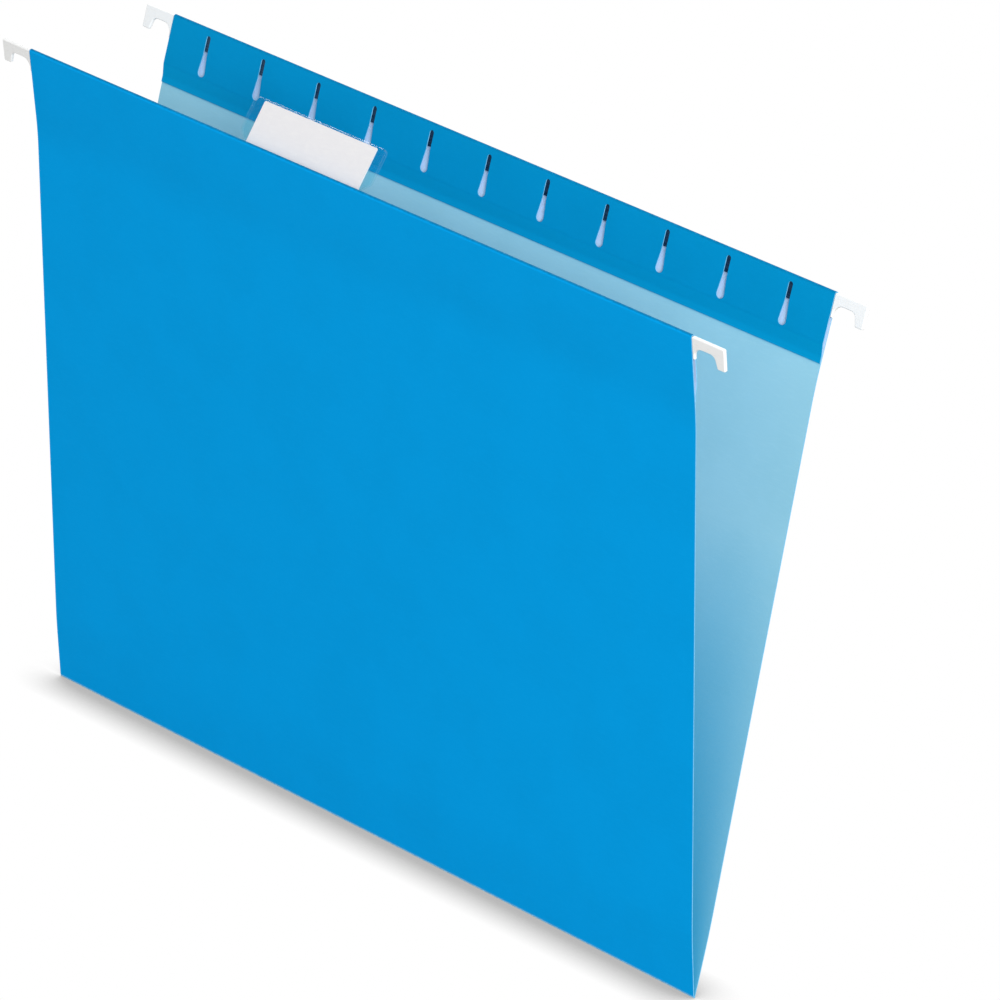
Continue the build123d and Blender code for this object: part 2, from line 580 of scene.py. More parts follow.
class NodeBoard:
    """Node tree of a material or a world, with short ways to add and join its nodes."""

    def __init__(self, owner: bpy.types.Material | bpy.types.World) -> None:
        """Starts an empty tree.

        Args:
            owner: New material or world that gets the tree.
        """
        self.owner = owner
        owner.use_nodes = True
        self.tree = owner.node_tree
        self.tree.nodes.clear()
        self.coordinates = self.add("ShaderNodeTexCoord").outputs

    def add(
        self, kind: str, sockets: dict[str, object] | dict[int, object] | None = None, **settings: object
    ) -> bpy.types.Node:
        """Adds a node.

        Args:
            kind: Type of the node.
            sockets: Value of each input, or the output that is joined to it.
            settings: Other settings of the node.

        Returns:
            The node.
        """
        node = self.tree.nodes.new(kind)
        for name, value in settings.items():
            setattr(node, name, value)
        for name, value in (sockets or {}).items():
            if isinstance(value, Socket):
                self.tree.links.new(value, node.inputs[name])
            else:
                node.inputs[name].default_value = value
        return node

    def along(self, axis: str, space: str = "Object") -> Socket:
        """Coordinate along one axis."""
        return self.add("ShaderNodeSeparateXYZ", {"Vector": self.coordinates[space]}).outputs[axis]

    def noise(self, scale: Scale, detail: float) -> Socket:
        """Noise on Object coordinates.

        Args:
            scale: Scale along each axis.
            detail: Number of finer noises in it.

        Returns:
            The noise, 0 to 1.
        """
        placed = self.add("ShaderNodeMapping", {"Vector": self.coordinates["Object"], "Scale": scale})
        settings = {"Vector": placed.outputs["Vector"], "Scale": 1.0, "Detail": detail}
        return self.add("ShaderNodeTexNoise", settings).outputs["Fac"]

    def stretch(self, value: Socket, span: Span, to: Span = (0.0, 1.0)) -> Socket:
        """Smooth step of a value from one span to another.

        Args:
            value: The value.
            span: Values at which the step starts and ends.
            to: Results up to the start, and from the end on.

        Returns:
            The result.
        """
        ends = {"From Min": span[0], "From Max": span[1], "To Min": to[0], "To Max": to[1]}
        node = self.add("ShaderNodeMapRange", {"Value": value, **ends}, interpolation_type="SMOOTHSTEP")
        return node.outputs["Result"]

    def around(self, value: Socket, middle: float, spread: float) -> Socket:
        """Number that a noise moves up and down about a middle."""
        return self.stretch(value, WIDE_SPAN, (middle - spread, middle + spread))

    def fade(self, value: Socket, low: float | Socket, high: float, start: float = 0.0) -> Socket:
        """Even step from one number to another.

        Args:
            value: The value that it follows.
            low: Result up to the start.
            high: Result at a value of 1.
            start: Value at which the step starts.

        Returns:
            The result.
        """
        sockets = {"Value": value, "From Min": start, "To Min": low, "To Max": high}
        return self.add("ShaderNodeMapRange", sockets).outputs["Result"]

    def calculate(self, operation: str, first: Socket, second: Socket | float = 0.0) -> Socket:
        """Result of an operation on two values, or on the first alone."""
        return self.add("ShaderNodeMath", {0: first, 1: second}, operation=operation).outputs[0]

    def blend(self, share: Socket, first: Colour | Socket, second: Colour | Socket) -> Socket:
        """Colour between two colours, by the share of the second."""
        sockets = {MIX_SHARE: share, MIX_FIRST: first, MIX_SECOND: second}
        return self.add("ShaderNodeMix", sockets, data_type="RGBA").outputs[MIX_RESULT]

    def bump(self, height: Socket, strength: float, depth: float) -> Socket:
        """Normal of a surface with small relief of this strength and depth."""
        sockets = {"Height": height, "Strength": strength, "Distance": depth}
        return self.add("ShaderNodeBump", sockets).outputs["Normal"]

    def openness(self, reach: float, samples: int) -> Socket:
        """How open the surface lies within a reach, from 0 in a closed corner to 1."""
        return self.add("ShaderNodeAmbientOcclusion", {"Distance": reach}, samples=samples).outputs["AO"]

    def rays_that_show(self) -> Socket:
        """Mark of the rays that show the white surroundings.

        Returns:
            1 for rays from the eye, in gloss and through clear sheet, and 0 for others.
        """
        path = self.add("ShaderNodeLightPath").outputs
        shown = path["Is Camera Ray"]
        for ray in ("Is Glossy Ray", "Is Transmission Ray"):
            shown = self.calculate("MAXIMUM", shown, path[ray])
        return shown

    def mix(self, share: float | Socket, first: bpy.types.Node, second: bpy.types.Node) -> bpy.types.Node:
        """Shader between two shaders, by the share of the second."""
        return self.add("ShaderNodeMixShader", {0: share, 1: first.outputs[0], 2: second.outputs[0]})

    def finish(self, shader: bpy.types.Node) -> bpy.types.Material | bpy.types.World:
        """Joins a shader to the output.

        Args:
            shader: The shader.

        Returns:
            The finished material or world.
        """
        is_world = isinstance(self.owner, bpy.types.World)
        output = "ShaderNodeOutputWorld" if is_world else "ShaderNodeOutputMaterial"
        self.add(output, {"Surface": shader.outputs[0]})
        return self.owner

    def solid(self, sockets: dict[str, object]) -> bpy.types.Material:
        """Finishes the material as an opaque surface with these inputs."""
        return self.finish(self.add("ShaderNodeBsdfPrincipled", sockets))


@dataclass(frozen=True)
class CardFinish:
    """Coloured card: cloudy pulp, fibres along the grain, painted shade along the crest, a pale fold that
    is partly worn and partly a painted highlight, and where set, painted shade in closed corners and
    painted light on a pressed strip.
    """

    name: str
    tone: Colour
    cloud_tone: Colour
    fibre_tone: Colour
    # Painted shade along the crest at the top of the hem
    crest_painted_shade: Colour
    # Pale line along the fold at the foot: partly worn card, partly a painted highlight
    fold_wear_and_highlight_tone: Colour = srgb(150, 208, 236)
    # Painted shade: a deeper tone where the surface lies closed in, as deep between the two leaves
    painted_shade_tone: Colour | None = None
    painted_shade_reach: float = 40 * MM
    painted_shade_samples: int = 4
    # Painted light: a lighter tone below this level, over the pressed strip that its slope shades darker
    painted_light_tone: Colour | None = None
    painted_light_top: float = -12.4 * MM
    painted_light_blur: float = 1.2 * MM
    roughness: float = 0.66
    roughness_spread: float = 0.06
    specular: float = 0.03
    relief: float = 0.25
    relief_depth: float = 0.04 * MM
    cloud_scale: Scale = (45.0,) * 3
    cloud_detail: float = 4.0
    cloud_span: Span = (0.35, 0.7)
    grain_scale: Scale = (260.0, 1500.0, 1500.0)
    felt_scale: Scale = (900.0,) * 3
    grain_detail: float = 3.0
    fibre_span: Span = (0.45, 0.75)
    fibre_share: float = 0.3
    crest_level: float = 3.6 * MM
    crest_blur: float = 0.5 * MM
    crest_shade_share: float = 0.8
    fold_level: float = -229.0 * MM
    fold_blur: float = 0.6 * MM
    wear_and_highlight_span: Span = (0.3, 0.65)
    wear_and_highlight_shares: Span = (0.5, 0.9)

    def material(self) -> bpy.types.Material:
        """Builds the material.

        Returns:
            The material.
        """
        board = NodeBoard(bpy.data.materials.new(self.name))
        grain = board.noise(self.grain_scale, self.grain_detail)
        felt = board.noise(self.felt_scale, self.grain_detail)
        pulp = self._pulp(board, grain)
        return board.solid(
            {
                "Base Color": self._marked(board, pulp, felt),
                "Roughness": board.around(felt, self.roughness, self.roughness_spread),
                "Specular IOR Level": self.specular,
                "Normal": board.bump(board.calculate("ADD", felt, grain), self.relief, self.relief_depth),
            }
        )

    def _pulp(self, board: NodeBoard, grain: Socket) -> Socket:
        """Colour of the card with its clouds and fibres, and painted shade: a deeper tone where the surface
        lies closed in and little light gets in.

        Args:
            board: The material's nodes.
            grain: Noise along the grain.

        Returns:
            The colour.
        """
        cloud = board.stretch(board.noise(self.cloud_scale, self.cloud_detail), self.cloud_span)
        fibre = board.stretch(grain, self.fibre_span, (0.0, self.fibre_share))
        colour = board.blend(cloud, self.tone, self.cloud_tone)
        colour = board.blend(fibre, colour, self.fibre_tone)
        # Painted shade, blended in where little is open around the surface
        if self.painted_shade_tone is None:
            return colour
        return board.blend(board.openness(self.painted_shade_reach, self.painted_shade_samples), self.painted_shade_tone, colour)

    def _marked(self, board: NodeBoard, colour: Socket, felt: Socket) -> Socket:
        """Colour of the card with painted light on its pressed strip, painted shade along its crest, and
        its pale fold, partly worn and partly a painted highlight.

        Args:
            board: The material's nodes.
            colour: Colour without the marks.
            felt: Fine noise that breaks them up.

        Returns:
            The colour.
        """
        level = board.along("Z")
        # Painted light: the pressed strip low on the flap is lightened against its own shading
        if self.painted_light_tone is not None:
            strip = (self.painted_light_top - self.painted_light_blur, self.painted_light_top)
            colour = board.blend(board.stretch(level, strip, (1.0, 0.0)), colour, self.painted_light_tone)
        # Painted shade: a darker line along the crest at the top of the hem, broken up by fine noise
        top = (self.crest_level - self.crest_blur, self.crest_level)
        crest = board.calculate("MULTIPLY", board.stretch(level, top, (0.0, self.crest_shade_share)), felt)
        colour = board.blend(crest, colour, self.crest_painted_shade)
        # Pale fold at the foot, broken up by fine noise: partly wear, partly a painted highlight
        foot = (self.fold_level, self.fold_level + self.fold_blur)
        wear_and_highlight = board.stretch(felt, self.wear_and_highlight_span, self.wear_and_highlight_shares)
        wear_and_highlight = board.calculate("MULTIPLY", board.stretch(level, foot, (1.0, 0.0)), wear_and_highlight)
        return board.blend(wear_and_highlight, colour, self.fold_wear_and_highlight_tone)


@dataclass(frozen=True)
class GrainFinish:
    """Two tones in one fine grain: torn card, rolled steel, dried glue or label paper."""

    name: str
    tone: Colour
    grain_tone: Colour
    scale: Scale
    detail: float
    roughness: float
    relief: float
    relief_depth: float
    span: Span = SOFT_SPAN
    roughness_spread: float = 0.0
    specular: float = 0.5
    metallic: float = 0.0

    def material(self) -> bpy.types.Material:
        """Builds the material.

        Returns:
            The material.
        """
        board = NodeBoard(bpy.data.materials.new(self.name))
        grain = board.noise(self.scale, self.detail)
        roughness: float | Socket = self.roughness
        if self.roughness_spread:
            roughness = board.around(grain, self.roughness, self.roughness_spread)
        return board.solid(
            {
                "Base Color": board.blend(board.stretch(grain, self.span), self.tone, self.grain_tone),
                "Metallic": self.metallic,
                "Roughness": roughness,
                "Specular IOR Level": self.specular,
                "Normal": board.bump(grain, self.relief, self.relief_depth),
            }
        )


@dataclass(frozen=True)
class CoatingFinish:
    """Dipped white plastic: satin, with slow waves from the dip and a few faint scuffs."""

    name: str
    tone: Colour
    scuff_tone: Colour
    roughness: float = 0.34
    scuff_roughness: float = 0.2
    specular: float = 0.45
    wave_scale: Scale = (420.0,) * 3
    wave_detail: float = 1.0
    wave_relief: float = 0.15
    wave_depth: float = 0.08 * MM
    scuff_scale: Scale = (500.0, 2600.0, 2600.0)
    scuff_detail: float = 4.0
    scuff_span: Span = (0.55, 0.8)

    def material(self) -> bpy.types.Material:
        """Builds the material.

        Returns:
            The material.
        """
        board = NodeBoard(bpy.data.materials.new(self.name))
        wave = board.noise(self.wave_scale, self.wave_detail)
        scuff = board.stretch(board.noise(self.scuff_scale, self.scuff_detail), self.scuff_span)
        scuffed = self.roughness + self.scuff_roughness
        return board.solid(
            {
                "Base Color": board.blend(scuff, self.tone, self.scuff_tone),
                "Roughness": board.stretch(scuff, (0.0, 1.0), (self.roughness, scuffed)),
                "Specular IOR Level": self.specular,
                "Normal": board.bump(wave, self.wave_relief, self.wave_depth),
            }
        )


@dataclass(frozen=True)
class ClearFinish:
    """Clear plastic sheet: it tints what lies behind it, its seams more so, and shines at a glance."""

    name: str
    tint: Colour
    seam_tint: Colour
    haze_tone: Colour
    haze: float
    shine: float
    roughness: float = 0.08
    wave_scale: Scale = (60.0,) * 3
    wave_detail: float = 2.0
    wave_relief: float = 0.05
    wave_depth: float = 0.3 * MM
    centre: float = -26.3 * MM
    seam_start: float = 26.0 * MM
    seam_blur: float = 0.25 * MM
    glance_blend: float = 0.5
    glance_power: float = 5.0

    def material(self) -> bpy.types.Material:
        """Builds the material.

        Returns:
            The material.
        """
        board = NodeBoard(bpy.data.materials.new(self.name))
        wave = board.noise(self.wave_scale, self.wave_detail)
        normal = board.bump(wave, self.wave_relief, self.wave_depth)
        offset = board.calculate("SUBTRACT", board.along("X"), self.centre)
        offset = board.calculate("ABSOLUTE", offset)
        seam = board.stretch(offset, (self.seam_start, self.seam_start + self.seam_blur))
        tint = board.blend(seam, self.tint, self.seam_tint)
        clear = board.add("ShaderNodeBsdfTransparent", {"Color": tint})
        haze = board.add("ShaderNodeBsdfDiffuse", {"Color": self.haze_tone, "Normal": normal})
        body = board.mix(self.haze, clear, haze)
        gloss = board.add("ShaderNodeBsdfGlossy", {"Roughness": self.roughness, "Normal": normal})
        weight = board.add("ShaderNodeLayerWeight", {"Blend": self.glance_blend, "Normal": normal})
        steep = board.calculate("POWER", weight.outputs["Facing"], self.glance_power)
        return board.finish(board.mix(board.fade(steep, self.shine, 1.0), body, gloss))


@dataclass(frozen=True)
class FolderFinishes:
    """The finishes of the whole folder."""

    # Each card finish lists its tone, cloud tone, fibre tone and the painted shade along its crest
    outside: CardFinish = CardFinish(
        "card_outside", srgb(0, 155, 226), srgb(0, 153, 223), srgb(4, 159, 229), srgb(0, 98, 152)
    )
    # The flap is the outside card turned in, in a darker copy of the outside finish: painted shade
    flap_painted_shade: CardFinish = CardFinish(
        "card_flap_painted_shade",
        srgb(0, 138, 192),
        srgb(0, 136, 189),
        srgb(4, 142, 195),
        srgb(0, 94, 142),
        # Painted light on the pressed strip
        painted_light_tone=srgb(1, 145, 198),
    )
    inside: CardFinish = CardFinish(
        "card_inside",
        srgb(149, 203, 223),
        srgb(145, 200, 220),
        srgb(157, 208, 226),
        srgb(116, 186, 217),
        # Painted shade: deeper blue where the two leaves close in towards the fold
        painted_shade_tone=srgb(16, 164, 207),
    )
    hem_lining: CardFinish = CardFinish(
        "card_hem_lining",
        srgb(192, 217, 244),
        srgb(187, 213, 241),
        srgb(200, 222, 247),
        srgb(172, 200, 233),
    )
    cut: GrainFinish = GrainFinish(
        "card_cut_edge",
        srgb(104, 182, 225),
        srgb(126, 194, 230),
        scale=(1800.0,) * 3,
        detail=4.0,
        roughness=0.85,
        relief=0.3,
        relief_depth=0.03 * MM,
        specular=0.1,
    )
    coating: CoatingFinish = CoatingFinish("hook_coating_white", srgb(236, 237, 237), srgb(227, 227, 226))
    # The rod's steel is tinted dark blue: painted shade inside the hem and a painted reflection of the blue
    # card
    steel: GrainFinish = GrainFinish(
        "rod_steel_painted_blue_shade",
        srgb(36, 58, 82),
        srgb(58, 82, 106),
        scale=(25.0, 3000.0, 3000.0),
        detail=3.0,
        roughness=0.42,
        relief=0.15,
        relief_depth=0.01 * MM,
        span=WIDE_SPAN,
        roughness_spread=0.08,
        metallic=1.0,
    )
    glue: GrainFinish = GrainFinish(
        "hem_glue",
        srgb(236, 228, 204),
        srgb(222, 212, 184),
        scale=(320.0,) * 3,
        detail=3.0,
        roughness=0.38,
        relief=0.3,
        relief_depth=0.05 * MM,
        roughness_spread=0.1,
    )
    label: GrainFinish = GrainFinish(
        "label_paper_white",
        srgb(221, 220, 222),
        srgb(225, 224, 225),
        scale=(420.0, 1400.0, 1400.0),
        detail=4.0,
        roughness=0.8,
        relief=0.2,
        relief_depth=0.03 * MM,
        span=(0.4, 0.75),
        roughness_spread=0.05,
        specular=0.2,
    )
    clear: ClearFinish = ClearFinish(
        "tab_clear_sheet",
        tint=(0.99, 0.99, 0.99, 1.0),
        seam_tint=(0.90, 0.984, 0.994, 1.0),
        haze_tone=srgb(225, 240, 248),
        haze=0.001,
        shine=0.001,
    )
    rim: ClearFinish = ClearFinish(
        "tab_clear_rim",
        tint=(0.95, 0.975, 0.98, 1.0),
        seam_tint=(0.92, 0.97, 0.98, 1.0),
        haze_tone=srgb(225, 242, 250),
        haze=0.05,
        shine=0.01,
    )


# Sub-assemblies


@dataclass(frozen=True)
class LeafPlace:
    """Where one leaf stands: frames of its card and of its hem."""

    side: LeafSide
    fold: Vector
    card: CardSizes
    hem: HemSizes

    @property
    def body(self) -> str:
        """Body that the leaf's pieces ride on."""
        return f"{self.side.value}_leaf"

    @property
    def leaf_frame(self) -> Matrix:
        """Frame of the leaf.

        Returns:
            The frame, in which Y points into the folder and Z up along the card, from the fold.
        """
        frame_of_front = Matrix.Translation(self.fold) @ Matrix.Rotation(self.card.lean, 4, "X")
        if self.side is LeafSide.FRONT:
            return frame_of_front
        return Matrix.Rotation(math.pi, 4, "Z") @ frame_of_front

    @property
    def hem_in_leaf(self) -> Matrix:
        """Frame of the hem within the leaf.

        Returns:
            The frame, in which Y is the depth inwards and Z is up from the tunnel's roof.
        """
        card = self.card
        depth = -card.fold_offset - math.sin(card.belly_tilt) * card.belly_length
        depth -= math.sin(card.flare_tilt) * card.flare_length
        level = math.cos(card.belly_tilt) * card.belly_length + card.main_length
        level += math.cos(card.flare_tilt) * card.flare_length
        return Matrix.Translation((0, depth, level)) @ Matrix.Rotation(card.flare_tilt, 4, "X")

    @property
    def hem_frame(self) -> Matrix:
        """Frame of the hem in the row frame."""
        return self.leaf_frame @ self.hem_in_leaf


@dataclass
class CardLeaf:
    """One leaf of card, with its hem turned over to the inside and keyhole slits in the flap."""

    place: LeafPlace
    materials: Sequence[bpy.types.Material]
    slits: SlitSizes = field(default_factory=SlitSizes)

    def build(self) -> bpy.types.Object:
        """Builds the leaf and ties it to the frame.

        Returns:
            The finished piece.
        """
        side = self.place.side.value
        sheet = self._folded_sheet()
        self._sort_faces(sheet)
        piece = new_piece(f"{side}_card_leaf", sheet.bm, self.materials)
        self._cut(piece, self._slit_cutter())
        piece.data.transform(self.place.leaf_frame)
        settle(piece, self.place.body, f"{side}_panel")
        return piece

    def _folded_sheet(self) -> BentSheet:
        """Folds the light face of the card, from the fold up and round the hem.

        Returns:
            The sheet, without thickness.
        """
        card = self.place.card
        hem = self.place.hem
        if self.place.side is LeafSide.REAR:
            sheet, first_run = self._start_round_the_fold(), card.belly_length
        else:
            sheet, first_run = self._start_above_the_fold()
        press_turn = math.atan2(hem.press_drop, hem.press_length)
        press_run = math.hypot(hem.press_drop, hem.press_length)
        flap_length = hem.flap_height - card.thickness
        glued_run = flap_length - hem.tunnel_depth - hem.press_length
        sheet.press(
            [
                Fold(first_run, -card.belly_tilt, card.belly_radius),
                Fold(card.main_length, card.flare_tilt, card.flare_radius),
                Fold(card.flare_length - flap_length),
                Fold(flap_length, -QUARTER, hem.roof_radius),
                Fold(hem.tunnel_gap, -QUARTER, hem.roof_radius),
                Fold(hem.tunnel_depth, -press_turn, hem.press_radius),
                Fold(press_run, press_turn, hem.press_radius),
                Fold(glued_run),
            ]
        )
        return sheet

    def _start_round_the_fold(self) -> BentSheet:
        """Starts a sheet on the far side of the fold and brings it round under it.

        Returns:
            The sheet.
        """
        card = self.place.card
        wrap = math.pi - 2 * (card.lean + card.belly_tilt) + card.fold_overlap
        heading = card.belly_tilt + wrap
        start = Vector((0, -math.cos(heading), -math.sin(heading))) * card.fold_offset
        sheet = BentSheet(card.width / 2, start, heading)
        sheet.bend(-wrap, card.fold_offset)
        return sheet

    def _start_above_the_fold(self) -> tuple[BentSheet, float]:
        """Starts a sheet clear of the rounded fold.

        Returns:
            The sheet, and the length of its first run.
        """
        card = self.place.card
        clear = card.fold_radius + card.fold_clearance
        skipped = math.sqrt(clear**2 - card.fold_offset**2)
        sheet = BentSheet(card.width / 2, Vector((0, -card.fold_offset, 0)), card.belly_tilt)
        bmesh.ops.translate(sheet.bm, verts=sheet.bm.verts[:], vec=sheet.ahead * skipped)
        sheet.place += sheet.ahead * skipped
        return sheet, card.belly_length - skipped

    def _sort_faces(self, sheet: BentSheet) -> None:
        """Gives the sheet its thickness and sorts its faces into the material slots.

        Args:
            sheet: The folded sheet.
        """
        card = self.place.card
        hem = self.place.hem
        light, printed, cut = sheet.thicken(card.thickness)
        to_hem = self.place.hem_in_leaf.inverted()
        lining_foot = card.thickness - hem.flap_height
        for face in light:
            in_hem = (to_hem @ face.calc_center_median()).z > lining_foot
            face.material_index = CardFace.HEM_LINING if in_hem else CardFace.INSIDE
        for face in printed:
            in_flap = (to_hem @ face.calc_center_median()).y > hem.glue
            face.material_index = CardFace.FLAP_PAINTED_SHADE if in_flap else CardFace.OUTSIDE
        for face in cut:
            face.material_index = CardFace.CUT
        if self.place.side is LeafSide.FRONT:
            self._chamfer_foot(sheet.bm)

    def _chamfer_foot(self, bm: BMesh) -> None:
        """Draws the foot's printed corner down, so that the leaf closes up to the rounded fold.

        Args:
            bm: Mesh of the front leaf.
        """
        card = self.place.card
        clear = card.fold_radius + card.fold_clearance
        foot_level = math.sqrt(clear**2 - card.fold_radius**2)
        foot = min(vert.co.y for vert in bm.verts if vert.co.z < clear)
        corner = [vert for vert in bm.verts if vert.co.z < clear and vert.co.y < foot + card.thickness / 2]
        drop = min(vert.co.z for vert in corner) - foot_level
        bmesh.ops.translate(bm, verts=corner, vec=(0, 0, -drop))

    def _slit_cutter(self) -> BMesh:
        """Makes a closed keyhole plate for each slit, which reaches through the flap.

        Returns:
            The plates, in the leaf's frame.
        """
        slits = self.slits
        card = self.place.card
        hem = self.place.hem
        half_narrow, half_wide = slits.narrow / 2, slits.wide / 2
        top, bottom = card.thickness - slits.top, card.thickness - slits.bottom
        right = [
            (half_narrow, top),
            (half_narrow, card.thickness - slits.flare_start),
            (half_wide, bottom + half_wide),
            (half_wide, bottom),
        ]
        outline = right + [(-x, z) for x, z in reversed(right)]
        bm = bmesh.new()
        corners = flat_plate(bm, outline, hem.tunnel_gap / 2)
        foot = len(right)
        for corner in (corners[0], corners[-1]):
            round_off(bm, [corner], half_narrow, slits.round_steps)
        for corner in (corners[foot - 1], corners[foot]):
            round_off(bm, [corner], half_wide, slits.round_steps)
        bmesh.ops.remove_doubles(bm, verts=bm.verts[:], dist=TINY)
        extrude_plate(bm, hem.tunnel_gap + card.thickness)
        first = bm.verts[:] + bm.edges[:] + bm.faces[:]
        bmesh.ops.translate(bm, verts=bm.verts[:], vec=(-slits.each_side * slits.pitch, 0, 0))
        for step in range(1, 2 * slits.each_side + 1):
            copied = bmesh.ops.duplicate(bm, geom=first)["geom"]
            move_new(bm, copied, Vector((step * slits.pitch, 0, 0)))
        for face in bm.faces:
            face.material_index = CardFace.CUT
        bm.transform(self.place.hem_in_leaf)
        return bm

    def _cut(self, piece: bpy.types.Object, cutter_mesh: BMesh) -> None:
        """Cuts the slits out of the leaf, with their walls in the cut edge's slot.

        Args:
            piece: The leaf, in its own frame.
            cutter_mesh: The keyhole plates, which are freed.
        """
        cutter = new_piece(f"{piece.name}_slit_cutter", cutter_mesh, self.materials)
        cut = piece.modifiers.new("slits", "BOOLEAN")
        cut.operation = "DIFFERENCE"
        cut.solver = "EXACT"
        cut.material_mode = "INDEX"
        cut.object = cutter
        depsgraph = bpy.context.evaluated_depsgraph_get()
        cut_mesh = bpy.data.meshes.new_from_object(piece.evaluated_get(depsgraph))
        whole_mesh = piece.data
        piece.modifiers.clear()
        piece.data = cut_mesh
        cut_mesh.name = piece.name
        bpy.data.meshes.remove(whole_mesh)
        cutter_data = cutter.data
        bpy.data.objects.remove(cutter)
        bpy.data.meshes.remove(cutter_data)


@dataclass
class HookCoating:
    """White dipped coating on one hook of a rod, with rounded rims."""

    place: LeafPlace
    end: RodEnd
    material: bpy.types.Material
    hook: HookSizes = field(default_factory=HookSizes)

    def build(self) -> bpy.types.Object:
        """Builds the coating and ties it to the frame.

        Returns:
            The finished piece.
        """
        hook = self.hook
        name = f"{self.place.side.value}_{self.end.name.lower()}_hook"
        bm = bmesh.new()
        outline = self._outline()
        corners = [corner for corner, _ in outline]
        verts = flat_plate(bm, corners, hook.strip_front - hook.coating)
        for index, (here, radius) in enumerate(outline):
            if radius:
                turn = (here - corners[index - 1]).angle(corners[index + 1] - here)
                round_off(bm, [verts[index]], radius * math.tan(turn / 2), hook.corner_steps)
        extrude_plate(bm, hook.strip_thickness + 2 * hook.coating)
        round_off(bm, self._rims(bm), hook.rim_round, hook.rim_steps)
        facing = 1 if self.place.side is LeafSide.FRONT else -1
        bmesh.ops.scale(bm, verts=bm.verts[:], vec=(self.end.value * facing, 1, 1))
        bm.transform(self.place.hem_frame)
        bmesh.ops.recalc_face_normals(bm, faces=bm.faces[:])
        piece = new_piece(f"{name}_dip", bm, [self.material])
        settle(piece, self.place.body, f"{name}_coating")
        keep_flats(piece)
        return piece

    def _outline(self) -> list[tuple[Vector, float]]:
        """Outline of the coating in X and Z.

        Returns:
            Its corners in order, each with the radius of its round, or 0 where it is sharp.
        """
        hook = self.hook
        skin = hook.coating
        down = Vector((0, -1))
        slope = Vector((hook.notch_roof_end - hook.tooth_inner, hook.roof - hook.bottom)).normalized()
        into_notch = Vector((-slope.y, slope.x))
        down_and_in = (down + into_notch) * (skin / (1 + down.dot(into_notch)))
        outer_radius = hook.tooth_radius + skin
        return [
            (Vector((hook.start, hook.top + skin)), 0.0),
            (Vector((hook.end + skin, hook.top + skin)), outer_radius),
            (Vector((hook.end + skin, hook.bottom - skin)), outer_radius),
            (Vector((hook.tooth_inner, hook.bottom)) + down_and_in, outer_radius),
            (Vector((hook.notch_roof_end, hook.roof)) + down_and_in, hook.roof_radius - skin),
            (Vector((hook.notch_wall + skin, hook.roof - skin)), hook.wall_radius - skin),
            (Vector((hook.notch_wall + skin, hook.bottom - skin)), 0.0),
            (Vector((hook.start, hook.bottom - skin)), 0.0),
        ]

    def _rims(self, bm: BMesh) -> list[BMEdge]:
        """Finds the front and back rims, but not the flat end where the strip comes out.

        Args:
            bm: Mesh of the coating.

        Returns:
            The edges of the rims.
        """
        rims: list[BMEdge] = []
        for edge in bm.edges:
            first, second = edge.verts
            along_rim = abs(first.co.y - second.co.y) < TINY
            at_start = max(first.co.x, second.co.x) < self.hook.start + TINY
            if along_rim and not at_start:
                rims.append(edge)
        return rims


